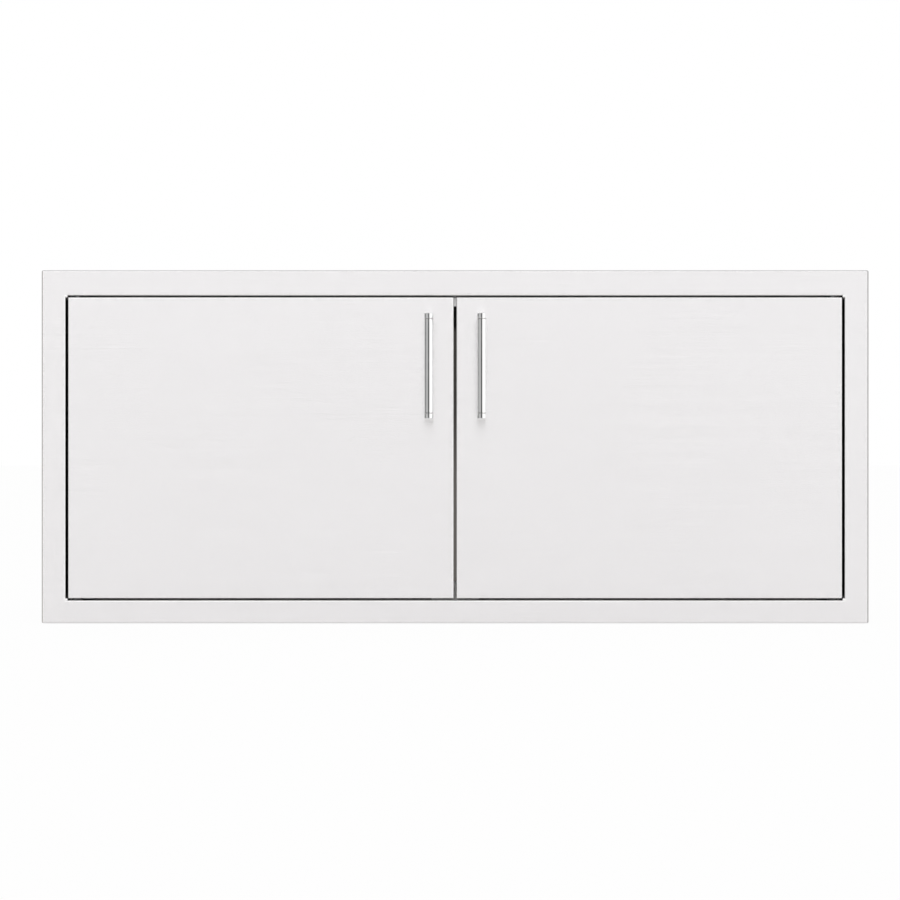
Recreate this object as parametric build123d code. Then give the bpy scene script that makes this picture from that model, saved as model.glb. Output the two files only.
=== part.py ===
from build123d import *
import math
import os

# A double access door for an outdoor kitchen, in millimetres. X runs to the right, Y into the wall
# and Z up. The origin is the centre of the doors' opening on the face of the wall.

# Face frame, folded from one sheet, with more of it above the opening than below
frame_width = 1143.0
frame_height = 488.0
side_border = 33.0
top_border = 34.9
bottom_border = 31.9
corner_weld = 3.0
frame_standoff = 16.0
sheet = 1.2
bend_inner = 1.0

# Gaps around and between the doors
side_gap = 3.3
centre_gap = 3.6
top_gap = 2.2
bottom_gap = 2.5

# Doors: a folded skin with a lip all round, closed by a flat liner
door_thickness = 20.0
liner_sheet = 0.9
lip_width = 12.0
liner_inset = 2.0
liner_corner = 6.0
rivet_head_diameter = 6.4
rivet_head_height = 1.1
rivet_inset = 7.0
rivet_row_end = 60.0
rivet_row_count = 4
rivet_side_spacing = 200.0

# Sleeve behind the face, which goes through the wall
sleeve_depth = 46.0
sleeve_lap = 6.0
rear_lip = 9.0
mount_hole_diameter = 5.5
mount_hole_depth = 24.0
side_screw_spacing = 300.0
level_screw_spacing = 760.0

# Stops behind the doors and their bumpers
stop_height = 13.5
stop_depth = 22.0
stop_swing_margin = 4.0
bumper_diameter = 10.0
bumper_thickness = 2.2
bumper_inset = 7.0
top_bumper_offset = 22.0
bottom_bumper_offset = 76.0

# Sides of the small caps that repeat, which are the rivet heads and the bumpers
cap_sides = 12

# Clearances
rest_clearance = 0.3
press_clearance = 0.05
running_clearance = 0.06
seam_clearance = 0.2

# Pivot hinges
pivot_inset = 12.0
pivot_depth = 8.5
pin_diameter = 6.0
bush_wall = 1.2
bush_flange_diameter = 14.0
upper_flange_height = 1.3
hinge_plate_length = 40.0
hinge_plate_width = 12.0
hinge_plate_thickness = 3.0
hinge_plate_overhang = 14.0
pin_tip = 0.8
pin_chamfer = 0.6
pin_head_diameter = 11.0
pin_head_height = 3.0
lower_plate_reach = 8.5

# Spring-loaded upper pin and its bracket
bracket_drop = 8.0
bracket_height = 34.0
bracket_width = 19.0
bracket_sheet = 1.5
bracket_tab_reach = 6.5
collar_diameter = 10.0
collar_height = 2.5
release_margin = 0.9
lever_drop = 5.0
lever_bend = 7.0
lever_reach = 12.0
grip_diameter = 9.0
grip_length = 10.0
grip_wall = 2.0
grip_edge = 1.0
window_inset = 4.5
window_width = 30.0
window_drop = 15.0
window_height = 62.0
window_corner = 4.0

# Coil spring, of six-sided wire
wire_diameter = 1.1
coil_diameter = 8.3
coil_turns = 5
coil_end_gap = 0.2
wire_sides = 6

# Handles
handle_length = 144.0
handle_diameter = 12.7
handle_wall = 1.5
handle_standoff = 32.0
handle_edge_inset = 34.35
handle_top_drop = 24.4
post_head_diameter = 13.2
post_head_height = 7.0
post_neck_width = 12.6
post_neck_height = 6.6
post_neck_edge = 0.8
post_edge = 0.5
post_seam = 0.6
spigot_length = 10.0
handle_screw_diameter = 4.0
handle_screw_depth = 14.0
handle_screw_head_diameter = 8.0
handle_screw_head_height = 3.0
washer_diameter = 10.0
washer_thickness = 0.8
access_hole_diameter = 14.0

# Double magnetic catch at the bottom centre
catch_width = 66.0
catch_height = 24.0
catch_depth = 16.0
catch_edge = 1.5
catch_pocket_depth = 12.0
catch_pole_offset = 17.0
pole_width = 20.0
pole_thickness = 1.5
magnet_thickness = 7.0
magnet_recess = 1.0
ear_length = 11.0
ear_width = 12.0
ear_thickness = 3.0
catch_screw_diameter = 3.0
catch_screw_head_diameter = 6.4
catch_screw_head_height = 2.2
catch_screw_tip = 2.0
slot_travel = 3.0

# Strike plates on the doors
strike_width = 24.0
strike_height = 13.0
strike_thickness = 1.2
strike_screw_diameter = 2.5
strike_screw_head_diameter = 5.0
strike_screw_spacing = 15.0
strike_screw_length = 6.0

# Sizes that follow from the ones above
bend_outer = sheet + bend_inner
half_x = frame_width / 2 - side_border
half_z = (frame_height - top_border - bottom_border) / 2
face_y = -frame_standoff
door_back = face_y + door_thickness
stop_y = door_back + bumper_thickness + rest_clearance
jamb_back = stop_y - seam_clearance
sleeve_front = jamb_back - sleeve_lap
sleeve_x = half_x + 2 * sheet
sleeve_z = half_z + 2 * sheet
hinge_edge = -half_x + side_gap
free_edge = -centre_gap / 2
door_top = half_z - top_gap
door_bottom = -half_z + bottom_gap
liner_front = door_back - liner_sheet
lip_front = liner_front - sheet
pivot_x = hinge_edge + pivot_inset
pivot_y = face_y + pivot_depth
pin_radius = pin_diameter / 2
bush_radius = pin_radius + running_clearance + bush_wall
bush_hole_diameter = 2 * (bush_radius + press_clearance)
pin_reach = half_z + sheet + hinge_plate_thickness + pin_tip
pin_travel = pin_reach - door_top + release_margin
tab_top = door_top - bracket_drop
tab_bottom = tab_top - bracket_height
collar_top = tab_top - bracket_sheet - rest_clearance
coil_top = collar_top - collar_height - coil_end_gap
coil_bottom = tab_bottom + bracket_sheet + coil_end_gap
lever_z = tab_bottom - lever_drop - lever_bend
grip_back = door_back + lever_reach
handle_x = free_edge - handle_edge_inset
handle_y = face_y - handle_standoff
handle_top = door_top - handle_top_drop
handle_bottom = handle_top - handle_length
post_heights = (handle_bottom + post_head_height / 2, handle_top - post_head_height / 2)
swing_radius = math.hypot(pivot_inset, door_thickness - pivot_depth)
stop_half = half_x - side_gap - pivot_inset - swing_radius - stop_swing_margin
catch_floor = -half_z
catch_middle = catch_floor + catch_height / 2
pole_front = door_back + strike_thickness + rest_clearance
stack_height = magnet_thickness + 2 * pole_thickness
catch_drill = catch_screw_diameter + 2 * press_clearance
ear_screw_x = catch_width / 2 + ear_length / 2
ear_screw_y = stop_y + catch_depth - ear_width / 2


def block(x, y, z):
    """A rectangular block between a low and a high value along each axis."""
    sizes = [high - low for low, high in (x, y, z)]
    centre = [(high + low) / 2 for low, high in (x, y, z)]
    return Pos(*centre) * Box(*sizes)


def span(half, middle=0.0):
    """The range that reaches the same way to both sides of a middle value."""
    return middle - half, middle + half


def upright(x, y, z, diameter):
    """A round bar along Z, between the low and the high value of z."""
    return Pos(x, y, sum(z) / 2) * Cylinder(diameter / 2, z[1] - z[0])


def inward(x, y, z, diameter):
    """A round bar along Y, between the low and the high value of y."""
    return Pos(x, sum(y) / 2, z) * Rot(90, 0, 0) * Cylinder(diameter / 2, y[1] - y[0])


def turned(outline, x, y, z):
    """A piece turned about an axis along Y: each point is a radius and a distance behind y."""
    return Pos(x, y, z) * revolve(make_face(Polyline(*outline, close=True)), Axis.Y)


def lathe(outline, x, y):
    """A piece turned about an upright axis: each point is a radius and a height."""
    return Pos(x, y, 0) * revolve(make_face(Plane.XZ * Polyline(*outline, close=True)), Axis.Z)


def low_cap(radius, height):
    """A low cap of many sides on the XY plane, half as wide at its top as at its foot."""
    foot = RegularPolygon(radius, cap_sides)
    return loft([foot, Pos(0, 0, height) * RegularPolygon(radius / 2, cap_sides)])


def folded_shell(x, y, z, round_corners):
    """A box of sheet bent along its front and back edges, with corners that are round or seamed."""
    solids = []
    for inset, radius in ((0, bend_outer), (sheet, bend_inner)):
        solid = block(*[(low + inset, high - inset) for low, high in (x, y, z)])
        edges = solid.edges()
        if not round_corners:
            edges = edges - edges.filter_by(Axis.Y)
        solids.append(fillet(edges, radius))
    return solids[0] - solids[1]


def bend_strip(length):
    """A quarter-round bend along Z that turns from the front to the right."""
    ring = Cylinder(bend_outer, length) - Cylinder(bend_inner, length)
    return ring & block((0, bend_outer), (-bend_outer, 0), span(length / 2))


def mitred_bend(half_length):
    """A bend as above along one side of the opening, mitred at both ends."""
    long_half = half_length + bend_outer
    corners = [(0, -long_half), (bend_outer, -half_length)]
    corners += [(bend_outer, half_length), (0, long_half)]
    mitre = make_face(Plane.XZ * Polyline(*corners, close=True))
    return bend_strip(2 * long_half) & extrude(mitre, 2 * bend_outer, both=True)


def face_frame():
    """The face with its outer return to the wall and its inner return along the doors.

    The bends along the opening are mitred, and a weld fills each of its corners.
    """
    height = (-half_z - bottom_border, half_z + top_border)
    frame = folded_shell(span(frame_width / 2), (face_y, frame_standoff), height, True)
    frame -= block(span(frame_width), (0, 2 * frame_standoff), span(frame_height))
    frame -= block(span(half_x + bend_outer), (2 * face_y, 0), span(half_z + bend_outer))
    bend_y = face_y + bend_outer
    jamb = block(span(half_x + sheet), (bend_y, jamb_back), span(half_z + sheet))
    frame += jamb - block(span(half_x), (bend_y, jamb_back), span(half_z))
    left = Pos(-half_x - bend_outer, bend_y, 0) * mitred_bend(half_z)
    top = Pos(0, bend_y, half_z + bend_outer) * Rot(0, 90, 0) * mitred_bend(half_x)
    frame += [left, mirror(left, Plane.YZ), top, mirror(top, Plane.XY)]
    corner = [(-half_x, half_z), (corner_weld - half_x, half_z), (-half_x, half_z - corner_weld)]
    weld_y = (face_y + bend_inner, jamb_back)
    weld = make_face(Plane.XZ.offset(-sum(weld_y) / 2) * Polyline(*corner, close=True))
    weld = extrude(weld, (weld_y[1] - weld_y[0]) / 2, both=True)
    welds = [weld, mirror(weld, Plane.YZ)]
    frame += welds + [mirror(one, Plane.XY) for one in welds]
    for x in span(pivot_x):
        frame -= upright(x, pivot_y, span(pin_reach), bush_hole_diameter)
    return frame


def sleeve_member(half_length, reach):
    """A sleeve plate as the top one, with its rear lip turned down and both ends mitred."""
    bend_y = sleeve_depth - bend_outer
    lip_z = (reach - rear_lip, reach - bend_outer)
    member = block(span(half_length), (sleeve_front, bend_y), (reach - sheet, reach))
    member += block(span(half_length), (sleeve_depth - sheet, sleeve_depth), lip_z)
    bend = Rot(180, 0, 0) * Rot(0, 90, 0) * bend_strip(2 * half_length)
    member += Pos(0, bend_y, reach - bend_outer) * bend
    short_half = half_length - rear_lip
    corners = [(-half_length, reach), (half_length, reach)]
    corners += [(short_half, reach - rear_lip), (-short_half, reach - rear_lip)]
    mitre = make_face(Plane.XZ * Polyline(*corners, close=True))
    return member & extrude(mitre, 2 * sleeve_depth, both=True)


def sleeve_plates():
    """The four plates of the sleeve, with a pair of screw holes in each."""
    top = sleeve_member(sleeve_x, sleeve_z)
    for x in span(level_screw_spacing / 2):
        top -= upright(x, mount_hole_depth, (half_z, sleeve_z + sheet), mount_hole_diameter)
    right = Rot(0, 90, 0) * sleeve_member(sleeve_z, sleeve_x)
    drill = Rot(0, 90, 0) * Cylinder(mount_hole_diameter / 2, side_border)
    for z in span(side_screw_spacing / 2):
        right -= Pos(sleeve_x, mount_hole_depth, z) * drill
    bottom = mirror(top, Plane.XY)
    for x in span(ear_screw_x):
        bottom -= upright(x, ear_screw_y, (-sleeve_z - sheet, catch_floor), catch_drill)
    left = mirror(right, Plane.YZ)
    return {"sleeve_top": top, "sleeve_bottom": bottom, "sleeve_left": left, "sleeve_right": right}


def top_stop():
    """An angle with one leg on the sleeve and one hanging behind the tops of the doors."""
    bend_y = stop_y + bend_outer
    bend_z = half_z + sheet - bend_outer
    angle = block(span(stop_half), (stop_y, stop_y + sheet), (half_z - stop_height, bend_z))
    angle += block(span(stop_half), (bend_y, stop_y + stop_depth), (half_z, half_z + sheet))
    bend = Rot(0, -90, 0) * bend_strip(2 * stop_half)
    return angle + Pos(0, bend_y, bend_z) * bend


def bottom_stop():
    """The same angle at the bottom, notched for the catch and drilled for its screws."""
    angle = mirror(top_stop(), Plane.XY)
    notch_x = span(catch_width / 2 + rest_clearance)
    angle -= block(notch_x, (door_back, stop_y + bend_outer), (catch_floor, -half_z + stop_height))
    for x in span(ear_screw_x):
        angle -= upright(x, ear_screw_y, (-sleeve_z, catch_middle), catch_drill)
    return angle


def stop_bumpers():
    """Rubber bumpers on the stops, two at the top and two at the bottom of each door.

    One is near the middle of the frame, and one between the second and the third rivet.
    """
    row = rivet_row()
    mid_offset = -(row[1] + row[2]) / 2
    bumper = Rot(90, 0, 0) * low_cap(bumper_diameter / 2, bumper_thickness)
    height = half_z - bumper_inset
    places = [(top_bumper_offset, height), (mid_offset, height)]
    places += [(bottom_bumper_offset, -height), (mid_offset, -height)]
    return [Pos(x, stop_y, z) * bumper for offset, z in places for x in span(offset)]


def hinge_plates():
    """Plates that stiffen the frame around each pivot, on its hidden side."""
    low_x = pivot_x - hinge_plate_overhang
    z = (half_z + sheet, half_z + sheet + hinge_plate_thickness)
    plate = block((low_x, low_x + hinge_plate_length), span(hinge_plate_width / 2, pivot_y), z)
    plate -= upright(pivot_x, pivot_y, z, bush_hole_diameter)
    upper = [plate, mirror(plate, Plane.YZ)]
    return upper + [mirror(one, Plane.XY) for one in upper]


def pivot_bushes(flange_height):
    """The pair of flanged nylon bushes at the top of the frame, which the pivot pins turn in."""
    bore = pin_radius + running_clearance
    rim = bush_flange_diameter / 2
    top = half_z + sheet + hinge_plate_thickness
    outline = [(bore, half_z - flange_height), (rim, half_z - flange_height), (rim, half_z)]
    outline += [(bush_radius, half_z), (bush_radius, top), (bore, top)]
    bush = lathe(outline, pivot_x, pivot_y)
    return [bush, mirror(bush, Plane.YZ)]


def catch_housing():
    """The catch's plastic body, with a pocket for each door and a slotted ear at each end."""
    y = (stop_y, stop_y + catch_depth)
    body = block(span(catch_width / 2), y, (catch_floor, catch_floor + catch_height))
    body = fillet(body.edges().filter_by(Axis.Y), catch_edge)
    ear_y = (y[1] - ear_width, y[1])
    ears = block(span(catch_width / 2 + ear_length), ear_y, (catch_floor, catch_floor + ear_thickness))
    ears = fillet(ears.edges().filter_by(Axis.Z), catch_edge)
    slot = Rot(0, 0, 90) * SlotCenterToCenter(slot_travel, catch_screw_diameter + 2 * rest_clearance)
    for x in span(ear_screw_x):
        ears -= Pos(x, ear_screw_y, catch_floor) * extrude(slot, ear_thickness)
    housing = body + ears
    pocket_z = span(stack_height / 2 + press_clearance, catch_middle)
    for x in span(catch_pole_offset):
        pocket_x = span(pole_width / 2 + press_clearance, x)
        housing -= block(pocket_x, (stop_y, stop_y + catch_pocket_depth), pocket_z)
    return housing


def catch_magnets():
    """A flat magnet for each door, set back between its pole plates."""
    y = (stop_y + magnet_recess, stop_y + catch_pocket_depth - press_clearance)
    z = span(magnet_thickness / 2 - press_clearance, catch_middle)
    return [block(span(pole_width / 2, x), y, z) for x in span(catch_pole_offset)]


def pole_plates():
    """Steel plates above and below each magnet, which stand out to the doors' strike plates."""
    y = (pole_front, stop_y + catch_pocket_depth - press_clearance)
    high = stack_height / 2
    upper = (catch_middle + high - pole_thickness, catch_middle + high)
    lower = (catch_middle - high, catch_middle - high + pole_thickness)
    places = [(x, z) for x in span(catch_pole_offset) for z in (lower, upper)]
    return [block(span(pole_width / 2, x), y, z) for x, z in places]


def catch_screws():
    """Pan-head screws down through the catch's ears, the stop and the sleeve."""
    seat = catch_floor + ear_thickness
    shank = catch_screw_diameter / 2
    head = catch_screw_head_diameter / 2
    tip = -sleeve_z - catch_screw_tip
    top = seat + catch_screw_head_height
    outline = [(0, tip), (shank, tip), (shank, seat), (head, seat), (head / 2, top), (0, top)]
    return [lathe(outline, x, ear_screw_y) for x in span(ear_screw_x)]


def rivet_row():
    """The X of each rivet in the rows along the top and bottom of a door."""
    first = hinge_edge + rivet_row_end
    step = (free_edge - rivet_row_end - first) / (rivet_row_count - 1)
    return [first + step * number for number in range(rivet_row_count)]


def rivet_places():
    """The rivets around a door, as X and Z: a row along the top and bottom, and a pair at each side."""
    rows = (door_bottom + rivet_inset, door_top - rivet_inset)
    sides = (hinge_edge + rivet_inset, free_edge - rivet_inset)
    places = [(x, z) for x in rivet_row() for z in rows]
    return places + [(x, z) for x in sides for z in span(rivet_side_spacing / 2)]


def strike_places():
    """The two screws of a strike plate, as X and Z."""
    return [(x, catch_middle) for x in span(strike_screw_spacing / 2, -catch_pole_offset)]


def back_holes():
    """Everything cut through a door's lip and liner: the strike's screw holes and the hinge window."""
    y = (lip_front - sheet, door_back + sheet)
    strike_hole = strike_screw_diameter + 2 * press_clearance
    cutters = [inward(x, y, z, strike_hole) for x, z in strike_places()]
    window_x = (hinge_edge + window_inset, hinge_edge + window_inset + window_width)
    window_z = (door_top - window_drop - window_height, door_top - window_drop)
    window = block(window_x, y, window_z)
    cutters.append(fillet(window.edges().filter_by(Axis.Y), window_corner))
    return cutters


def door_skin():
    """The door's folded outside, with a lip all round its back."""
    z = (door_bottom, door_top)
    skin = folded_shell((hinge_edge, free_edge), (face_y, liner_front), z, False)
    open_x = (hinge_edge + lip_width, free_edge - lip_width)
    open_z = (door_bottom + lip_width, door_top - lip_width)
    skin -= block(open_x, (lip_front - sheet, door_back), open_z)
    middle = (door_top + door_bottom) / 2
    skin -= upright(pivot_x, pivot_y, (middle, pin_reach), pin_diameter + 2 * running_clearance)
    skin -= upright(pivot_x, pivot_y, (-pin_reach, middle), pin_diameter + 2 * press_clearance)
    drill = handle_screw_diameter + 2 * press_clearance
    for height in post_heights:
        skin -= inward(handle_x, (face_y, face_y + sheet), height, drill)
    return skin - back_holes()


def door_liner():
    """The flat sheet that closes the door's back, open at the upper hinge and the handle screws."""
    x = (hinge_edge + liner_inset, free_edge - liner_inset)
    z = (door_bottom + liner_inset, door_top - liner_inset)
    liner = block(x, (liner_front, door_back), z)
    liner = fillet(liner.edges().filter_by(Axis.Y), liner_corner) - back_holes()
    for height in post_heights:
        liner -= inward(handle_x, (liner_front, door_back), height, access_hole_diameter)
    return liner


def liner_rivets():
    """The heads of the blind rivets that hold the liner to the lip."""
    head = Rot(-90, 0, 0) * low_cap(rivet_head_diameter / 2, rivet_head_height)
    return [Pos(x, door_back, z) * head for x, z in rivet_places()]


def handle_bar():
    """The handle's tube, between its two posts."""
    end = post_head_height + post_seam
    z = (handle_bottom + end, handle_top - end)
    tube = upright(handle_x, handle_y, z, handle_diameter)
    return tube - upright(handle_x, handle_y, z, handle_diameter - 2 * handle_wall)


def handle_posts():
    """Posts with a round head in line with the bar, a spigot inside it and a flat neck."""
    seam = handle_top - post_head_height
    rim = post_head_diameter / 2
    spigot = handle_diameter / 2 - handle_wall - press_clearance
    outline = [(0, seam - spigot_length), (spigot, seam - spigot_length), (spigot, seam)]
    outline += [(rim - post_edge, seam), (rim, seam + post_edge), (rim, handle_top - post_edge)]
    outline += [(rim - post_edge, handle_top), (0, handle_top)]
    neck_x = span(post_neck_width / 2, handle_x)
    neck = block(neck_x, (handle_y, face_y), span(post_neck_height / 2, post_heights[1]))
    neck = fillet(neck.edges().filter_by(Axis.Y), post_neck_edge)
    post = lathe(outline, handle_x, handle_y) + neck
    hole_y = (face_y - handle_screw_depth, face_y)
    post -= inward(handle_x, hole_y, post_heights[1], handle_screw_diameter + 2 * press_clearance)
    return [mirror(post, Plane.XY.offset(sum(post_heights) / 2)), post]


def handle_washers():
    """Flat washers under the handle screws, inside the door."""
    y = (face_y + sheet, face_y + sheet + washer_thickness)
    bore = handle_screw_diameter + 2 * rest_clearance
    return [
        inward(handle_x, y, z, washer_diameter) - inward(handle_x, y, z, bore) for z in post_heights
    ]


def handle_screws():
    """Pan-head screws from inside the door into the handle posts."""
    seat = face_y + sheet + washer_thickness
    length = sheet + washer_thickness + handle_screw_depth - rest_clearance
    shank = handle_screw_diameter / 2
    head = handle_screw_head_diameter / 2
    outline = [(0, -length), (shank, -length), (shank, 0), (head, 0)]
    outline += [(head / 2, handle_screw_head_height), (0, handle_screw_head_height)]
    return [turned(outline, handle_x, seat, z) for z in post_heights]


def strike_outline(grow):
    """A countersunk screw's outline below the strike plate's face, larger by a clearance."""
    head = strike_screw_head_diameter / 2 + grow
    shank = strike_screw_diameter / 2 + grow
    outline = [(0, 0), (head, 0), (shank, -strike_thickness), (shank, -strike_screw_length)]
    return outline + [(0, -strike_screw_length)]


def strike_plate():
    """The steel plate on the door's back that the catch holds."""
    y = (door_back, door_back + strike_thickness)
    x = span(strike_width / 2, -catch_pole_offset)
    plate = block(x, y, span(strike_height / 2, catch_middle))
    for screw_x, screw_z in strike_places():
        plate -= turned(strike_outline(press_clearance), screw_x, y[1], screw_z)
    return plate


def strike_screws():
    """Countersunk screws that hold the strike plate to the door's lip."""
    face = door_back + strike_thickness
    return [turned(strike_outline(0), x, face, z) for x, z in strike_places()]


def lower_pin_plate():
    """The plate inside the bottom of the door that the fixed pivot pin is riveted to."""
    x = (pivot_x - lower_plate_reach, pivot_x + lower_plate_reach)
    z = (door_bottom + sheet, door_bottom + sheet + hinge_plate_thickness)
    plate = block(x, span(hinge_plate_width / 2, pivot_y), z)
    return plate - upright(pivot_x, pivot_y, z, pin_diameter + 2 * press_clearance)


def lower_pivot_pin():
    """The fixed pin that stands down from the door into the frame's lower bush."""
    seat = door_bottom + sheet + hinge_plate_thickness
    head = pin_head_diameter / 2
    outline = [(0, -pin_reach), (pin_radius - pin_chamfer, -pin_reach)]
    outline += [(pin_radius, pin_chamfer - pin_reach), (pin_radius, seat), (head, seat)]
    outline += [(head, seat + pin_head_height), (0, seat + pin_head_height)]
    return lathe(outline, pivot_x, pivot_y)


def pin_bracket():
    """The bracket inside the door that guides the sprung upper pin with its two tabs."""
    base = face_y + sheet
    inner_y = (base + bracket_sheet, pivot_y + bracket_tab_reach)
    x = span(bracket_width / 2, pivot_x)
    bracket = block(x, (base, inner_y[1]), (tab_bottom, tab_top))
    bends = bracket.edges().filter_by(Axis.X).sort_by(Axis.Y)[:2]
    bracket = fillet(bends, bracket_sheet + bend_inner)
    hollow = block(x, inner_y, (tab_bottom + bracket_sheet, tab_top - bracket_sheet))
    bends = hollow.edges().filter_by(Axis.X).sort_by(Axis.Y)[:2]
    bracket -= fillet(bends, bend_inner)
    bore = pin_diameter + 2 * running_clearance
    return bracket - upright(pivot_x, pivot_y, (tab_bottom, tab_top), bore)


def upper_pivot_pin():
    """The sprung pin: up through the door into the frame, its lower end bent back as a lever."""
    end = grip_back - grip_wall
    corners = [(pivot_x, pivot_y, pin_reach), (pivot_x, pivot_y, lever_z), (pivot_x, end, lever_z)]
    path = FilletPolyline(*corners, radius=lever_bend)
    section = Plane(origin=corners[0], z_dir=(0, 0, -1)) * Circle(pin_radius)
    pin = sweep(section, path)
    tip = pin.edges().filter_by(GeomType.CIRCLE).sort_by(Axis.Z)[-1]
    return chamfer(tip, pin_chamfer)


def pin_collar():
    """The collar on the sprung pin that its spring pushes up against the bracket."""
    z = (collar_top - collar_height, collar_top)
    ring = upright(pivot_x, pivot_y, z, collar_diameter)
    return ring - upright(pivot_x, pivot_y, z, pin_diameter + 2 * press_clearance)


def lever_grip():
    """A soft cap on the lever of the sprung pin."""
    y = (grip_back - grip_length, grip_back)
    grip = inward(pivot_x, y, lever_z, grip_diameter)
    grip = chamfer(grip.edges().filter_by(GeomType.CIRCLE), grip_edge)
    bore_y = (y[0], grip_back - grip_wall)
    return grip - inward(pivot_x, bore_y, lever_z, pin_diameter + 2 * press_clearance)


def biarc(start, start_way, end, end_way):
    """Two arcs from start to end that leave and arrive along the given unit directions."""
    chord = end - start
    ways = chord.dot(start_way + end_way)
    turn = 2 * (1 - start_way.dot(end_way))
    reach = (math.sqrt(ways * ways + turn * chord.dot(chord)) - ways) / turn
    near = start + start_way * reach
    far = end - end_way * reach
    middle = (near + far) / 2
    first = Edge.make_tangent_arc(start, start_way, middle)
    return [first, Edge.make_tangent_arc(middle, (far - near).normalized(), end)]


def coil_spring(x):
    """The spring around a pin: a helix of quarter turns whose ends stand square on their seats."""
    radius = coil_diameter / 2
    quarters = 4 * coil_turns
    end_height = 2 * wire_diameter
    low = coil_bottom + end_height
    climb = (coil_top - end_height - low) / quarters
    up = Vector(0, 0, 1)

    def helix(quarter):
        angle = quarter * math.pi / 2
        out = Vector(math.cos(angle), math.sin(angle), 0)
        point = Vector(x, pivot_y, low + climb * quarter) + out * radius
        around = Vector(-math.sin(angle), math.cos(angle), 0)
        return point, (around * (radius * math.pi / 2) + up * climb).normalized()

    def seat(quarter, height):
        point = helix(quarter)[0]
        return Vector(point.X, point.Y, height)

    foot = seat(-1, coil_bottom)
    ankle = seat(-1, coil_bottom + wire_diameter)
    head = seat(quarters + 1, coil_top)
    neck = seat(quarters + 1, coil_top - wire_diameter)
    edges = [Edge.make_line(foot, ankle)] + biarc(ankle, up, *helix(0))
    for quarter in range(quarters):
        edges += biarc(*helix(quarter), *helix(quarter + 1))
    edges += biarc(*helix(quarters), neck, up) + [Edge.make_line(neck, head)]
    section = Plane(origin=foot, z_dir=up) * RegularPolygon(wire_diameter / 2, wire_sides)
    points = [edge.position_at(share / 4) for edge in edges for share in range(4)]
    apart = len(points) * 2 // quarters
    gaps = [(a - b).length for n, a in enumerate(points) for b in points[n + apart :]]
    print("least gap between turns:", round(min(gaps) - wire_diameter, 2), "mm")
    return sweep(section, Wire(edges), clean=False)


nodes = {
    "face_frame": face_frame(),
    **sleeve_plates(),
    "top_stop": top_stop(),
    "bottom_stop": bottom_stop(),
    "stop_bumpers": stop_bumpers(),
    "hinge_plates": hinge_plates(),
    "upper_bushes": pivot_bushes(upper_flange_height),
    "lower_bushes": mirror(pivot_bushes(bottom_gap - seam_clearance), Plane.XY),
    "catch_housing": catch_housing(),
    "catch_magnets": catch_magnets(),
    "catch_pole_plates": pole_plates(),
    "catch_screws": catch_screws(),
}

door_pieces = {
    "door_skin": door_skin(),
    "door_liner": door_liner(),
    "liner_rivets": liner_rivets(),
    "handle_bar": handle_bar(),
    "handle_posts": handle_posts(),
    "handle_washers": handle_washers(),
    "handle_screws": handle_screws(),
    "strike_plate": strike_plate(),
    "strike_screws": strike_screws(),
    "lower_pin_plate": lower_pin_plate(),
    "lower_pivot_pin": lower_pivot_pin(),
    "pin_bracket": pin_bracket(),
    "upper_pivot_pin": upper_pivot_pin(),
    "pin_collar": pin_collar(),
    "lever_grip": lever_grip(),
}
for name, piece in door_pieces.items():
    nodes["left_" + name] = piece
    nodes["right_" + name] = mirror(piece, Plane.YZ)
nodes["left_pin_spring"] = coil_spring(pivot_x)
nodes["right_pin_spring"] = coil_spring(-pivot_x)

os.makedirs("parts", exist_ok=True)
for name, piece in nodes.items():
    solids = piece if isinstance(piece, list) else [piece]
    export_step(Compound([solid for one in solids for solid in one.solids()]), f"parts/{name}.step")
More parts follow.
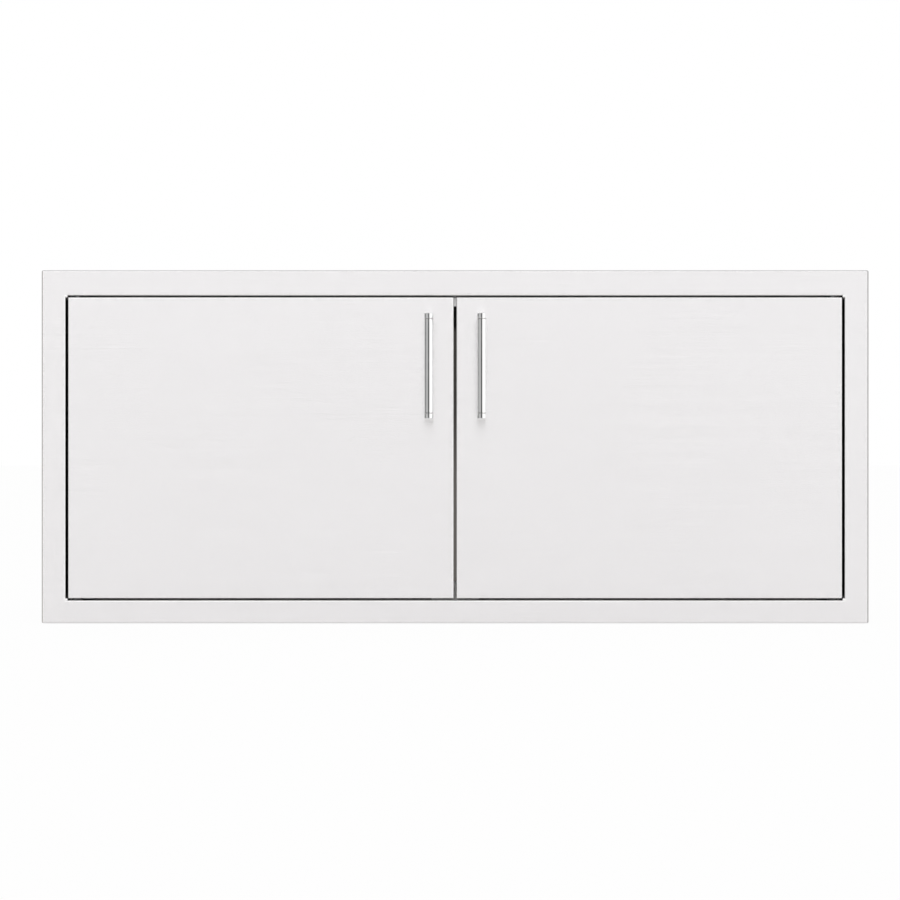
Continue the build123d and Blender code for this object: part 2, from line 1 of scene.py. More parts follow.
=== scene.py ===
import bpy
import numpy as np
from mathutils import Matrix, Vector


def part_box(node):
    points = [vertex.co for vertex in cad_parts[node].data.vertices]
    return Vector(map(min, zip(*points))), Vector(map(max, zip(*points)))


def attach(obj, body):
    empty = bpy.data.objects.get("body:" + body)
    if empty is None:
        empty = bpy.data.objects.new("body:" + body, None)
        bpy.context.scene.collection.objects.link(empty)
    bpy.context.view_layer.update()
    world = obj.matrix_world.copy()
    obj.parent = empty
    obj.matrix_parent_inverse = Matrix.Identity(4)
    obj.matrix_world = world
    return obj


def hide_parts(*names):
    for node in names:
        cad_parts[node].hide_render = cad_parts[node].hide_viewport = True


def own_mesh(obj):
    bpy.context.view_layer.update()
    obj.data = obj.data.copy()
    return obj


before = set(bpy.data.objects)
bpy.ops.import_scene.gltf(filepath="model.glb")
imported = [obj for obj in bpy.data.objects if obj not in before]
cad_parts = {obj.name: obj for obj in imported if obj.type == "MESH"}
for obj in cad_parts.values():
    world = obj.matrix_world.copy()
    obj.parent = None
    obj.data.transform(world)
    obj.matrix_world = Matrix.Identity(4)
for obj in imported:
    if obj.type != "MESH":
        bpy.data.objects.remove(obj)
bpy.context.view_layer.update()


# Face frame. One stainless sheet folded like a picture frame: an outer return to the wall, a broad
# face and an inner return along the doors. It is brushed level. Its bends along the doors carry a
# painted highlight, its two upright outer bends carry painted shade, the right one darker, and a
# bead of weld lies over the mitre at each corner of the opening.
class Value:
    """A socket of one node tree. Sums and products of values add Math nodes to that tree, and
    node() adds any other node."""

    def __init__(self, tree, socket=None):
        self.tree = tree
        self.socket = socket

    def node(self, kind, settings={}, inputs={}, output=0):
        """Adds a node of that kind: settings first, then the values or links of its sockets."""
        made = self.tree.nodes.new("ShaderNode" + kind)
        for name, setting in settings.items():
            if name == "stops":
                while len(made.color_ramp.elements) < len(setting):
                    made.color_ramp.elements.new(1.0)
                for element, (position, level) in zip(made.color_ramp.elements, setting):
                    element.position = position
                    element.color = (level, level, level, 1.0)
            else:
                setattr(made, name, setting)
        for name, value in inputs.items():
            if isinstance(value, Value):
                self.tree.links.new(value.socket, made.inputs[name])
            else:
                made.inputs[name].default_value = value
        return Value(self.tree, made.outputs[output])

    def math(self, operation, *others):
        values = dict(enumerate((self, *others)))
        return self.node("Math", {"operation": operation}, values)

    def __add__(self, other):
        return self.math("ADD", other)

    def __mul__(self, other):
        return self.math("MULTIPLY", other)

    def __sub__(self, other):
        return self.math("SUBTRACT", other)

    def __rsub__(self, other):
        return (self * -1.0).math("ADD", other)

    __radd__ = __add__
    __rmul__ = __mul__

    def step(self, low, high):
        """Rises smoothly from 0 at low to 1 at high, or falls where low is the larger."""
        inputs = {"Value": self, "From Min": low, "From Max": high}
        return self.node("MapRange", {"interpolation_type": "SMOOTHSTEP"}, inputs)

    def between(self, colour, other):
        """The first colour where this value is 0 and the other where it is 1."""
        inputs = {0: self}
        for number, shade in ((6, colour), (7, other)):
            inputs[number] = shade if isinstance(shade, Value) else (*shade, 1.0)
        return self.node("Mix", {"data_type": "RGBA"}, inputs, output=2)

    def feed(self, shader, name):
        self.tree.links.new(self.socket, shader.inputs[name])


def start_finish(name, constants={}):
    """A new material with its constant sockets set, as (material, shader, place): place holds the
    piece's own coordinates in metres."""
    material = bpy.data.materials.new(name)
    material.use_nodes = True
    shader = material.node_tree.nodes["Principled BSDF"]
    for socket, value in constants.items():
        shader.inputs[socket].default_value = value
    place = Value(material.node_tree).node("TexCoord", output="Object")
    return material, shader, place


def noise(place, per_metre, detail=2.0):
    """Smooth noise from 0 to 1 with that many features per metre along X, Y and Z."""
    stretched = place.node("VectorMath", {"operation": "MULTIPLY"}, {0: place, 1: per_metre})
    return place.node("TexNoise", {}, {"Vector": stretched, "Scale": 1.0, "Detail": detail})


def axes(place):
    """The X, Y and Z of a place, each as a value."""
    return [place.node("SeparateXYZ", {}, {0: place}, output=number) for number in range(3)]


def relief(height, shader, depth):
    """A fine surface relief: height from 0 to 1 stands for depth in metres."""
    inputs = {"Strength": 1.0, "Distance": depth, "Height": height}
    height.node("Bump", {}, inputs).feed(shader, "Normal")


def near_rectangle(place, low, high, width):
    """1 along the outline of an upright rectangle, falling to 0 at that width from it."""
    x, _, z = axes(place)
    across = (x - (low.x + high.x) / 2).math("ABSOLUTE") - (high.x - low.x) / 2
    upward = (z - (low.z + high.z) / 2).math("ABSOLUTE") - (high.z - low.z) / 2
    return across.math("MAXIMUM", upward).math("ABSOLUTE").step(width, 0.0)


def brushed_steel(name, low, high, shaded_corner=None):
    """Level brushed stainless: long fine scratches along X, soft clouds from wiping, and a painted
    highlight, paler and smoother, on the bends along the given rectangle. Where a corner is given,
    its upright bend and the one across on the right have painted shade, the right one darker."""
    bend_highlight_width = 0.0030
    bend_shade_width = 0.0019
    left_bend_shade, right_bend_shade = (0.46, 0.43, 0.40), (0.11, 0.095, 0.085)
    material, shader, place = start_finish(
        name, {"Metallic": 1.0, "Anisotropic": 1.0, "Anisotropic Rotation": 0.25}
    )
    scratch = noise(place, (5.0, 5.0, 1500.0), 3.0)
    band = noise(place, (1.6, 1.6, 260.0), 2.0)
    cloud = noise(place, (2.2, 2.2, 3.4), 3.0)
    # Painted highlight: the bends along the rectangle are paled almost to white, and made a little
    # smoother.
    painted_bend_highlight = near_rectangle(place, low, high, bend_highlight_width)
    grain = scratch * 0.5 + band * 0.3 + cloud * 0.2
    sheen = grain.step(0.2, 0.9).between((0.887, 0.873, 0.880), (0.947, 0.935, 0.944))
    colour = painted_bend_highlight.between(sheen, (0.985, 0.980, 0.980))
    # Painted shade on the two upright outer bends, much darker on the right one.
    if shaded_corner:
        x, y, _ = axes(place)
        across = x.math("ABSOLUTE") + shaded_corner.x
        into = y - shaded_corner.y
        off = (across * across + into * into).math("SQRT")
        painted_shade = x.step(-0.1, 0.1).between(left_bend_shade, right_bend_shade)
        colour = off.step(bend_shade_width, bend_shade_width / 2).between(colour, painted_shade)
    colour.feed(shader, "Base Color")
    (0.205 + scratch * 0.04 + cloud * 0.04 - painted_bend_highlight * 0.04).feed(shader, "Roughness")
    relief(scratch, shader, 0.00016)
    return material


def dress(nodes, material):
    """Gives CAD nodes their finish."""
    for name in nodes:
        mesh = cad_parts[name].data
        mesh.materials.clear()
        mesh.materials.append(material)


def lathe(outline, columns=48):
    """Turns (radius, height) points about Z: x is r cos a, y is r sin a and z is the height."""
    radius, height = np.asarray(outline, dtype=float).T[:, :, None]
    angle = np.linspace(0.0, 2 * np.pi, columns, endpoint=False)
    rows = radius * np.cos(angle), radius * np.sin(angle), height
    return np.stack(np.broadcast_arrays(*rows), axis=-1)


def to_front(grid):
    """Tips a grid so that what stood along Z stands out to the front."""
    return np.stack([grid[..., 0], -grid[..., 2], grid[..., 1]], axis=-1)


def piece(name, grid, places, material, node, body):
    """A copy of a grid of points at each place, or one grid for each, as one object that stands for
    a CAD node where one is named. Columns run round each copy and join up, and its first and last
    rows are closed by a flat face."""
    grids = grid + np.asarray(places)[:, None, None, :]
    corner = np.arange(grids[..., 0].size).reshape(grids.shape[:3])
    beside = np.roll(corner, -1, axis=2)
    sides = np.stack([corner[:, :-1], beside[:, :-1], beside[:, 1:], corner[:, 1:]], axis=-1)
    ends = np.concatenate([corner[:, 0, ::-1], corner[:, -1]])
    mesh = bpy.data.meshes.new(name)
    faces = sides.reshape(-1, 4).tolist() + ends.tolist()
    mesh.from_pydata(grids.reshape(-1, 3).tolist(), [], faces)
    mesh.shade_smooth()
    mesh.set_sharp_from_angle(angle=np.radians(38.0))
    mesh.materials.append(material)
    made = bpy.data.objects.new(name, mesh)
    bpy.context.collection.objects.link(made)
    if node:
        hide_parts(node)
    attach(made, body)
    return made


sheet = 0.0012
frame_low, frame_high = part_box("face_frame")
# The catch stands on the bottom of the opening, and the sleeve lies two sheets outside it.
opening_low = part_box("catch_housing")[0].copy()
opening_low.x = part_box("sleeve_left")[0].x + 2 * sheet
opening_high = -opening_low
frame_steel = brushed_steel("frame_brushed_steel", opening_low, opening_high, frame_low)
dress(["face_frame"], frame_steel)

bead_long, bead_thick, bead_wide = 0.0026, 0.0009, 0.0017
bead_in = (0.0007, 0.0010, 0.0006)
bead_ripples = 3
ripple_height = 0.04
turn = np.linspace(0.05 - np.pi / 2, np.pi / 2 - 0.05, 21)
ball = to_front(lathe(np.stack([np.cos(turn), np.sin(turn)], axis=-1)))
bead = ball * (bead_long, bead_thick, bead_wide)
bead[..., 1:] *= 1 + ripple_height * np.cos(2 * np.pi * bead_ripples * ball[..., :1])
beads = []
corners = []
for way_x, way_z in ((-1, 1), (1, 1), (-1, -1), (1, -1)):
    slope = way_x * way_z
    x = (bead[..., 0] - slope * bead[..., 2]) * np.sqrt(0.5)
    z = (bead[..., 2] + slope * bead[..., 0]) * np.sqrt(0.5)
    beads.append(np.stack([x, bead[..., 1], z], axis=-1))
    inward = way_x * (opening_high.x - bead_in[0]), way_z * (opening_high.z - bead_in[2])
    corners.append((inward[0], frame_low.y + bead_in[1], inward[1]))
piece("corner_weld_beads", np.stack(beads), corners, frame_steel, None, "frame")


# Sleeve. Four folded plates of plain mill-finish stainless behind the face, which go through the
# wall. A row of spot welds joins each to the frame's inner return, and two screw holes are left.
def mill_steel(name, tone, rolled, welds=None, shaded_beyond=None):
    """Plain cold-rolled stainless: a satin grey with faint roll lines, cloudy oil marks and a few
    short scuffs. Where welds are given, they are round dents with a straw and brown heat tint.
    Further up or down than the height given, a bend is darkened with painted shade."""
    material, shader, place = start_finish(name, {"Metallic": 1.0})
    roll = noise(place, rolled, 2.0)
    cloud = noise(place, (9.0, 9.0, 9.0), 4.0)
    scuff = noise(place, (420.0, 35.0, 60.0), 2.0).step(0.66, 0.74)
    shade = (roll * 0.35 + cloud * 0.65 - scuff * 0.15).step(0.25, 0.75)
    colour = shade.between((tone - 0.07,) * 3, (tone + 0.07, tone + 0.068, tone + 0.06))
    height = roll * 0.02 + scuff * 0.01
    if welds:
        along, line, spacing = welds
        dent_floor, dent_rim = 0.0016, 0.0026
        tint_full, tint_rim = 0.0022, 0.0048
        position = axes(place)
        near = position[along].math("PINGPONG", spacing / 2)
        off = position[1] - line
        ring = (near * near + off * off).math("SQRT")
        colour = ring.step(tint_rim, tint_full).between(colour, (0.50, 0.41, 0.29))
        height = height - ring.step(dent_rim, dent_floor)
    # Painted shade: beyond that height the bend is made nearly black.
    if shaded_beyond:
        out = axes(place)[2].math("ABSOLUTE")
        painted_bend_shade = out.step(shaded_beyond - 0.0006, shaded_beyond + 0.0002)
        colour = painted_bend_shade.between(colour, (0.07, 0.066, 0.062))
    colour.feed(shader, "Base Color")
    (0.30 + cloud * 0.14 + scuff * 0.12).feed(shader, "Roughness")
    relief(height, shader, 0.0002)
    return material


weld_spacing = 0.07
weld_line = (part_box("sleeve_top")[0].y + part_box("face_frame")[1].y) / 2
level_welds = (0, weld_line, weld_spacing)
upright_welds = (2, weld_line, weld_spacing)
rolled_level = (3.0, 220.0, 220.0)
rolled_upright = (220.0, 220.0, 3.0)
level_sleeve = mill_steel("level_sleeve_steel", 0.62, rolled_level, level_welds)
upright_sleeve = mill_steel("upright_sleeve_steel", 0.62, rolled_upright, upright_welds)
dress(["sleeve_top", "sleeve_bottom"], level_sleeve)
dress(["sleeve_left", "sleeve_right"], upright_sleeve)


# Stops and bumpers. Two bent angles spot-welded inside the sleeve, which the doors close against,
# each with small translucent rubber domes stuck on so that the steel doesn't ring.
stop_weld_inset = 0.008
stop_shade_width = 0.0014
stop_weld_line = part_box("top_stop")[1].y - stop_weld_inset
stop_welds = (0, stop_weld_line, weld_spacing)
# The stops' bends beyond the top and bottom of the opening are darkened with painted shade.
stop_bend = opening_high.z - stop_shade_width
stop_steel = mill_steel("stop_steel", 0.90, rolled_level, stop_welds, stop_bend)
dress(["top_stop", "bottom_stop"], stop_steel)


def soft_plastic(name, colour, roughness, lumps, constants={}):
    """Moulded plastic or rubber: one colour with a faint mottle, and a skin of fine lumps."""
    material, shader, place = start_finish(name, constants)
    mottle = noise(place, (60.0, 60.0, 60.0), 4.0)
    skin = noise(place, (lumps, lumps, lumps), 2.0)
    darker = tuple(channel * 0.90 for channel in colour)
    mottle.step(0.3, 0.7).between(darker, colour).feed(shader, "Base Color")
    (roughness - 0.06 + skin * 0.12).feed(shader, "Roughness")
    relief(skin, shader, 0.00002)
    return material


def to_back(grid):
    """Tips a grid so that what stood along Z stands along Y, into the wall."""
    return np.stack([grid[..., 0], grid[..., 2], -grid[..., 1]], axis=-1)


bumper_low, bumper_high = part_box("stop_bumpers")
bumper_radius = 0.005
bumper_thickness = bumper_high.y - bumper_low.y
bumper_outer = bumper_high.x - bumper_radius
top_inner, bottom_inner = 0.022, 0.076
top_row = bumper_high.z - bumper_radius
bottom_row = bumper_low.z + bumper_radius
bumper_pairs = [(top_inner, top_row), (bumper_outer, top_row)]
bumper_pairs += [(bottom_inner, bottom_row), (bumper_outer, bottom_row)]
bumper_places = [(x * way, bumper_high.y, z) for x, z in bumper_pairs for way in (-1, 1)]
soft_glow = {"Subsurface Weight": 0.4, "Subsurface Scale": 0.001}
clear_rubber = soft_plastic("clear_rubber", (0.80, 0.80, 0.77), 0.22, 900.0, soft_glow)
turn = np.linspace(0.0, np.pi / 2 - 0.02, 14)
dome = np.stack([bumper_radius * np.cos(turn) ** 0.7, bumper_thickness * np.sin(turn)], axis=-1)
domes = to_front(lathe(np.concatenate([[(bumper_radius * 0.3, 0.0)], dome])))
piece("bumper_domes", domes, bumper_places, clear_rubber, "stop_bumpers", "frame")


# Hinge plates and bushes. A thick plate behind each corner of the frame stiffens it round the pivot,
# and a flanged black nylon bush pressed through both carries the door's pin.
dress(["hinge_plates"], mill_steel("hinge_plate_steel", 0.54, (160.0, 4.0, 160.0)))
dress(["upper_bushes", "lower_bushes"], soft_plastic("bush_nylon", (0.03, 0.03, 0.032), 0.42, 500.0))


# Magnetic catch. A white moulded body screwed to the bottom stop, with a dark flat magnet between
# two plated steel pole plates for each door, and a pan-head screw down through each ear.
dress(["catch_housing"], soft_plastic("catch_plastic", (0.95, 0.95, 0.935), 0.35, 700.0))
dress(["catch_magnets"], soft_plastic("magnet_ferrite", (0.055, 0.052, 0.050), 0.62, 1200.0))


def plated_steel(name, tint):
    """Zinc-plated steel: a cool grey with a faint straw and blue bloom, and slight spangle."""
    material, shader, place = start_finish(name, {"Metallic": 1.0})
    bloom = noise(place, (130.0, 130.0, 130.0), 3.0)
    spangle = noise(place, (900.0, 900.0, 900.0), 1.0)
    cool = tuple(channel * shift for channel, shift in zip(tint, (0.90, 0.95, 1.04)))
    bloom.step(0.35, 0.65).between(cool, tint).feed(shader, "Base Color")
    (0.26 + spangle * 0.16).feed(shader, "Roughness")
    relief(spangle, shader, 0.000006)
    return material


def sink_cross(rows, reach, half_width, depth):
    """Sinks a cross into rows of points that face up: two slots, each reaching that far from the
    middle, with walls that slope over half a slot's width."""
    x, y = np.abs(rows[..., 0]), np.abs(rows[..., 1])
    one_slot = np.maximum(x - reach, y - half_width)
    other_slot = np.maximum(x - half_width, y - reach)
    outside = np.minimum(one_slot, other_slot)
    rows[..., 2] -= depth * np.clip(-2 * outside / half_width, 0.0, 1.0)


def pan_screw(head, height, shank, length):
    """A screw whose seat is at 0: the shank below, and above it a straight rim that rounds over
    as cos to the power 0.6 across and sin upwards, with a cross sunk in it."""
    turn = np.linspace(0.0, np.pi / 2 - 0.04, 18)
    rim = 0.35 * height
    top = np.stack([head * np.cos(turn) ** 0.6, rim + (height - rim) * np.sin(turn)], axis=-1)
    below = [(shank * 0.3, -length), (shank, shank - length), (shank, 0.0), (head, 0.0)]
    grid = lathe(np.concatenate([below, top]), 72)
    sink_cross(grid[len(below):], 0.60 * head, 0.15 * head, 0.45 * height)
    return grid


zinc = plated_steel("zinc_plate", (0.70, 0.69, 0.65))
dress(["catch_pole_plates"], zinc)
screw_low, screw_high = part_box("catch_screws")
head, height = 0.0032, 0.0022
seat = screw_high.z - height
across = (screw_low.y + screw_high.y) / 2
places = [(x, across, seat) for x in (screw_low.x + head, screw_high.x - head)]
catch_screw = pan_screw(head, height, 0.0015, seat - screw_low.z)
piece("catch_cross_screws", catch_screw, places, zinc, "catch_screws", "frame")


# Doors. Two folded stainless pans, brushed level like the frame, with a lip all round the back.
sides = ("left", "right")
for side in sides:
    node = f"{side}_door_skin"
    dress([node], brushed_steel(f"{side}_door_steel", *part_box(node)))


# Door liners. A flat mill-finish sheet closes the back of each door, held to the skin's lip by blind
# rivets: a row along the top and bottom and two at each side.
dress(["left_door_liner", "right_door_liner"], mill_steel("liner_steel", 0.64, (3.0, 3.0, 260.0)))
rivet_steel = plated_steel("rivet_steel", (0.72, 0.72, 0.71))
rivet_radius = 0.0032
rivet_height = 0.0011
rivet_row_end = 0.053
rivet_side_height = 0.1
bore = 0.3 * rivet_radius
slope = np.linspace(0.0, 0.92 * np.pi / 2, 12)
dome = np.stack([rivet_radius * np.cos(slope) ** 0.85, rivet_height * np.sin(slope)], axis=-1)
dome[:, 0] = np.maximum(dome[:, 0], bore)
stub_foot, stub_top = 0.4 * rivet_height, 0.75 * rivet_height
stub = [(bore, stub_foot), (0.8 * bore, stub_foot), (0.7 * bore, stub_top)]
rivet = to_back(lathe(np.concatenate([[(bore, 0.0)], dome, stub]), 40))
for side in sides:
    low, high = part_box(f"{side}_liner_rivets")
    columns = low.x + rivet_radius, high.x - rivet_radius
    rows = low.z + rivet_radius, high.z - rivet_radius
    row_x = np.linspace(columns[0] + rivet_row_end, columns[1] - rivet_row_end, 4)
    places = [(x, low.y, z) for x in row_x for z in rows]
    places += [(x, low.y, z * rivet_side_height) for x in columns for z in (-1, 1)]
    node = f"{side}_liner_rivets"
    piece(f"{side}_blind_rivets", rivet, places, rivet_steel, node, f"{side}_door")


# Handles. A polished stainless tube between two posts, whose round heads carry on the bar and whose
# flat necks stand on the door, each held by a pan-head screw and a washer from inside.
def polished_steel(name, tone, seams=None):
    """Mirror-polished stainless: faint turning lines round the bar and the haze of handling, and
    a darker band at the seams at the given pair of heights."""
    material, shader, place = start_finish(name, {"Metallic": 1.0})
    lines = noise(place, (60.0, 60.0, 2600.0), 2.0)
    haze = noise(place, (45.0, 45.0, 30.0), 4.0)
    shade = (lines * 0.5 + haze * 0.5).step(0.2, 0.8)
    colour = shade.between((tone - 0.03,) * 3, (tone + 0.02,) * 3)
    if seams:
        middle, half = sum(seams) / 2, (seams[1] - seams[0]) / 2
        off = ((axes(place)[2] - middle).math("ABSOLUTE") - half).math("ABSOLUTE")
        colour = off.step(0.0010, 0.0005).between(colour, (0.62, 0.61, 0.60))
    colour.feed(shader, "Base Color")
    (0.045 + haze.step(0.45, 0.7) * 0.05).feed(shader, "Roughness")
    relief(lines, shader, 0.0000015)
    return material


bar_low, bar_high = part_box("left_handle_bar")
handle_polish = polished_steel("handle_polish", 0.94, (bar_low.z, bar_high.z))
head, height = 0.0040, 0.0030
for side in sides:
    dress([f"{side}_handle_bar", f"{side}_handle_posts"], handle_polish)
    dress([f"{side}_handle_washers"], zinc)
    node = f"{side}_handle_screws"
    low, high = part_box(node)
    seat = high.y - height
    middle = (low.x + high.x) / 2
    places = [(middle, seat, z) for z in (low.z + head, high.z - head)]
    screw = to_back(pan_screw(head, height, 0.0020, seat - low.y))
    piece(f"{side}_handle_cross_screws", screw, places, zinc, node, f"{side}_door")


# Strike plates. A plated plate on the back of each door, which the catch pulls on, with two
# countersunk screws into the lip.
head, shank = 0.0025, 0.00125
for side in sides:
    dress([f"{side}_strike_plate"], zinc)
    node = f"{side}_strike_screws"
    low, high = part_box(node)
    length = high.y - low.y
    below = [(shank * 0.3, -length), (shank, shank - length), (shank, -sheet)]
    top = [(radius, 0.0) for radius in np.linspace(head, 0.15 * head, 18)]
    grid = lathe(below + top, 72)
    sink_cross(grid[len(below):], 0.62 * head, 0.16 * head, 0.0009)
    middle = (low.z + high.z) / 2
    places = [(x, high.y, middle) for x in (low.x + head, high.x - head)]
    name = f"{side}_strike_cross_screws"
    piece(name, to_back(grid), places, zinc, node, f"{side}_door")


# Pivot hinges. At the bottom of each door a plate carries a fixed pin. At the top a bracket guides a
# sprung pin: its end is bent back as a lever with a ribbed soft cap, and pulling it down frees the door.
def coil(radius, wire, height, turns, columns=16):
    """A spring's wire about Z from 0 to its height. It goes round at one radius, and climbs by one
    wire a turn at its closed ends and steadily faster between them."""
    turn = np.linspace(0.0, turns, int(64 * turns))
    from_end = np.minimum(turn, turns - turn)
    share = np.clip((from_end - 0.55) / 0.4, 0.0, 1.0)
    speed = share * share * (3.0 - 2.0 * share)
    climb = np.cumsum(speed) / np.sum(speed)
    closed = 1.04 * wire
    rise = wire / 2 + closed * turn + (height - wire - closed * turns) * climb
    angle = 2 * np.pi * turn
    out = np.stack([np.cos(angle), np.sin(angle), 0 * angle], axis=-1)
    centre = radius * out + rise[:, None] * (0.0, 0.0, 1.0)
    onward = np.gradient(centre, axis=0)
    onward /= np.linalg.norm(onward, axis=1, keepdims=True)
    upward = np.cross(out, onward)
    around = np.linspace(0.0, 2 * np.pi, columns, endpoint=False)[:, None]
    ring = np.cos(around) * out[:, None] - np.sin(around) * upward[:, None]
    return centre[:, None] + wire / 2 * ring


def ribbed_cap(radius, length):
    """A soft cap along Z: a bevelled mouth, seven ribs as a cosine along it, and an end that
    rounds over as a quarter ellipse."""
    bevel, end, rib = 0.0008, 0.0022, 0.0004
    along = np.linspace(0.0, 1.0, 72)
    ribs = radius - rib * (0.5 - 0.5 * np.cos(14 * np.pi * along))
    turn = np.linspace(0.0, np.pi / 2 - 0.03, 12)
    body = np.stack([ribs, bevel + along * (length - bevel - end)], axis=-1)
    tip = np.stack([radius * np.cos(turn), length - end + end * np.sin(turn)], axis=-1)
    return lathe(np.concatenate([[(0.6 * radius, 0.0), (radius - bevel, 0.0)], body, tip[1:]]))


hinge_steel = mill_steel("hinge_steel", 0.58, (160.0, 160.0, 4.0))
pin_steel = polished_steel("pin_steel", 0.70)
spring_steel = polished_steel("spring_steel", 0.52)
grip_rubber = soft_plastic("grip_rubber", (0.022, 0.022, 0.023), 0.6, 900.0)
wire = 0.0011
spring_turns = 6.75
for side in sides:
    dress([f"{side}_lower_pin_plate", f"{side}_pin_bracket"], hinge_steel)
    dress([f"{side}_lower_pivot_pin", f"{side}_upper_pivot_pin", f"{side}_pin_collar"], pin_steel)
    node = f"{side}_lever_grip"
    low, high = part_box(node)
    cap = to_back(ribbed_cap((high.z - low.z) / 2, high.y - low.y))
    places = [((low.x + high.x) / 2, low.y, (low.z + high.z) / 2)]
    piece(f"{side}_ribbed_cap", cap, places, grip_rubber, node, f"{side}_hinge_pin")
    node = f"{side}_pin_spring"
    low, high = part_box(node)
    seat = ((low.x + high.x) / 2, (low.y + high.y) / 2, low.z)
    tall = high.z - low.z
    wound = coil((high.x - low.x - wire) / 2, wire, tall, spring_turns)
    spring = piece(f"{side}_coil", wound, [seat], spring_steel, node, f"{side}_door")
    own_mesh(spring)


# Studio. A white floor and a white surround, a dim card that stands in for the shade inside the
# wall and carries a painted glow of stray light, low down and near the middle, and a camera straight
# in front, as far away as an 85 mm lens needs to take in the photograph's width.
photo_size = 900
photo_frame_width = 827.1
photo_centre = (455.1, 447.85)
pixel = (frame_high.x - frame_low.x) / photo_frame_width

camera = bpy.data.cameras.new("camera")
camera.lens = 85.0
camera.sensor_width = 36.0
camera_object = bpy.data.objects.new("camera", camera)
distance = camera.lens / camera.sensor_width * photo_size * pixel
camera_object.location = (
    (photo_size / 2 - photo_centre[0]) * pixel,
    frame_low.y - distance,
    (photo_centre[1] - photo_size / 2) * pixel,
)
camera_object.rotation_euler = (np.pi / 2, 0.0, 0.0)
bpy.context.collection.objects.link(camera_object)
bpy.context.scene.camera = camera_object
bpy.context.scene.view_settings.view_transform = "Standard"


def flat_plate(name, corners, colour):
    """A single face of matt paint, as (node tree, shader)."""
    mesh = bpy.data.meshes.new(name)
    mesh.from_pydata(corners, [], [(0, 1, 2, 3)])
    plate = bpy.data.objects.new(name, mesh)
    bpy.context.collection.objects.link(plate)
    paint = bpy.data.materials.new(name + "_paint")
    paint.use_nodes = True
    shader = paint.node_tree.nodes["Principled BSDF"]
    shader.inputs["Base Color"].default_value = (*colour, 1.0)
    shader.inputs["Roughness"].default_value = 0.9
    mesh.materials.append(paint)
    return paint.node_tree, Value(paint.node_tree, shader.outputs[0])


def light_path(tree, kind):
    return Value(tree).node("LightPath", output=f"Is {kind} Ray")


reach = 30.0
floor_drop = 0.0005
seen_white, mirrored_white = 0.96, 0.30
floor_z = frame_low.z - floor_drop
floor_corners = [(x * reach, y * reach, floor_z) for x, y in ((-1, -1), (1, -1), (1, 1), (-1, 1))]
tree, paint = flat_plate("floor", floor_corners, (0.82, 0.81, 0.80))
seen = light_path(tree, "Camera")
mirrored = light_path(tree, "Glossy").math("MAXIMUM", light_path(tree, "Transmission"))
white = seen.node("Emission", {}, {"Color": (1.0, 1.0, 1.0, 1.0), "Strength": 1.0})
share = seen * seen_white + mirrored * mirrored_white
mixed = share.node("MixShader", {}, {0: share, 1: paint, 2: white})
tree.links.new(mixed.socket, tree.nodes["Material Output"].inputs["Surface"])

card_inset = 0.004
card_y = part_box("sleeve_bottom")[1].y - card_inset
card_corners = [
    (opening_low.x, card_y, opening_low.z),
    (opening_high.x, card_y, opening_low.z),
    (opening_high.x, card_y, opening_high.z),
    (opening_low.x, card_y, opening_high.z),
]
# The card is a dark sheet put where there would only be shade inside the wall.
tree, paint = flat_plate("dark_card", card_corners, (0.03, 0.03, 0.03))
seen = light_path(tree, "Camera")
x, _, z = axes(Value(tree).node("TexCoord", output="Object"))
# Painted glow of stray light on the card, brightest low down and near the middle.
below_stop = z.step(0.172, 0.162)
lower_half = z.step(0.07, -0.07)
near_middle = x.math("ABSOLUTE").step(0.45, 0.20)
painted_stray_light = (below_stop * 0.35 + lower_half * 0.65) * near_middle
glow = painted_stray_light.between((0.006, 0.006, 0.006), (0.130, 0.122, 0.115))
painted_glow_shader = glow.node("Emission", {}, {"Color": glow, "Strength": 1.0})
front = seen.node("MixShader", {}, {0: seen * 0.9 + 0.1, 1: paint, 2: painted_glow_shader})
behind = Value(tree).node("NewGeometry", output="Backfacing")
behind = behind.math("MAXIMUM", seen.node("LightPath", output="Transparent Depth").step(0.4, 0.6))
mixed = behind.node("MixShader", {}, {0: behind, 1: front, 2: behind.node("BsdfTransparent")})
tree.links.new(mixed.socket, tree.nodes["Material Output"].inputs["Surface"])

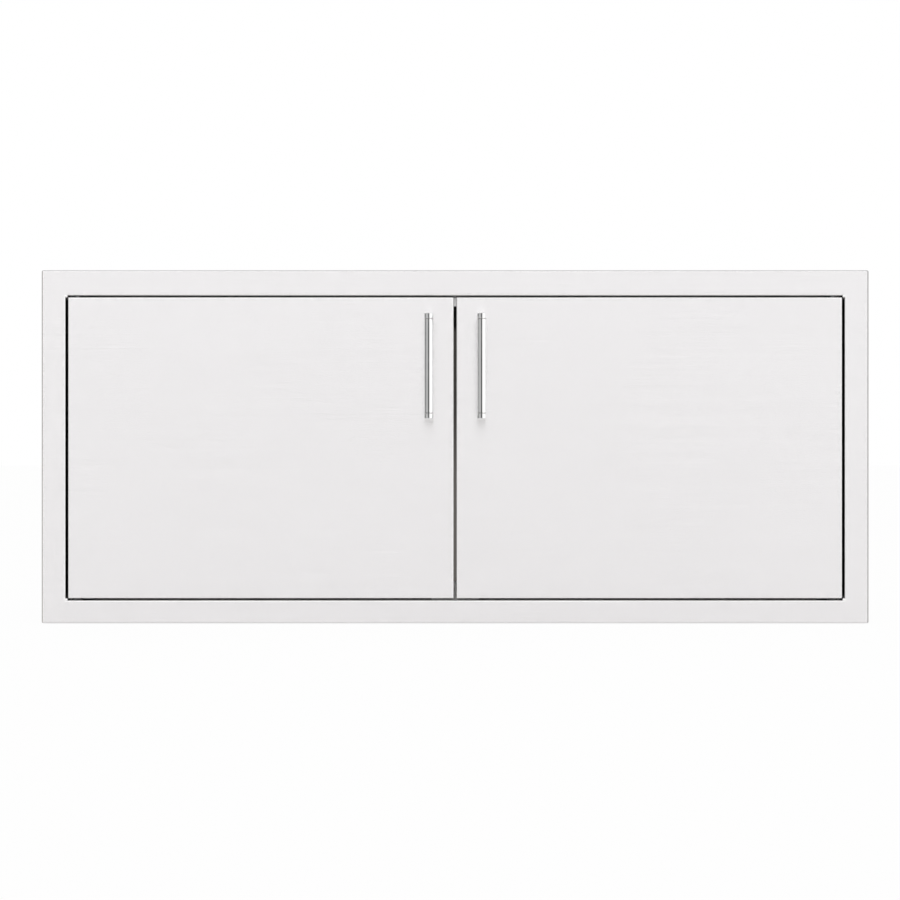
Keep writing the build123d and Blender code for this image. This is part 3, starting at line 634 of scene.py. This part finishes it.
world = bpy.data.worlds.new("surround")
bpy.context.scene.world = world
world.use_nodes = True
tree = world.node_tree
x, y, z = axes(Value(tree).node("TexCoord", output="Generated"))
turn = x.math("ARCTAN2", y * -1.0) * (0.5 / np.pi) + 0.5


def around(stops):
    """A level that changes round the room, from the back by the left, the front and the right."""
    stops = [(degrees / 360 + 0.5, level) for degrees, level in stops]
    return turn.node("SeparateColor", {}, {0: turn.node("ValToRGB", {"stops": stops}, {"Fac": turn})})


walls = [(-180, 0.80), (-162, 0.72), (-140, 0.40), (-62, 0.34), (-46, 1.08), (-20, 1.03), (10, 0.993)]
walls += [(12.5, 0.96), (20, 0.96), (66, 1.04), (80, 0.16), (144, 0.08), (162, 0.70), (180, 0.80)]
cards = [(-180, 0.26), (-66, 0.22), (-57, 0.58), (-40, 0.55), (-20, 0.42), (-13, 0.09)]
cards += [(8, 0.08), (16, 0.62), (25, 1.05), (43, 1.25), (144, 1.15), (180, 0.60)]
horizon_share, upper_share = 0.92, 0.42
overhead_level = 0.50
soft_level = 0.85
surround = around(walls) * (horizon_share + z.step(0.065, 0.13) * upper_share)
overhead = z.step(0.55, 0.92)
surround = surround * (1 - overhead) + overhead * overhead_level
ring_low, ring_high, ring_soft = np.sin(np.radians((0.1, 4.1, 0.6)))
ring = z.step(ring_low - ring_soft, ring_low) * z.step(ring_high + ring_soft, ring_high)
mirrored = surround * (1 - ring) + around(cards) * ring
is_camera = light_path(tree, "Camera")
is_glossy = light_path(tree, "Glossy")
lighting = is_glossy * mirrored + (1 - is_glossy) * soft_level
level = is_camera + (1 - is_camera) * lighting
tree.links.new(level.socket, tree.nodes["Background"].inputs["Strength"])
tree.nodes["Background"].inputs["Color"].default_value = (1.0, 1.0, 1.0, 1.0)

lamp = bpy.data.lights.new("overhead_box", "AREA")
lamp.shape = "RECTANGLE"
lamp.size = 2.4
lamp.size_y = 1.2
lamp.energy = 8.0
lamp_object = bpy.data.objects.new("overhead_box", lamp)
lamp_object.location = (0.3, -1.1, 1.9)
lamp_object.rotation_euler = (np.radians(30.0), 0.0, 0.0)
lamp_object.visible_glossy = False
bpy.context.collection.objects.link(lamp_object)
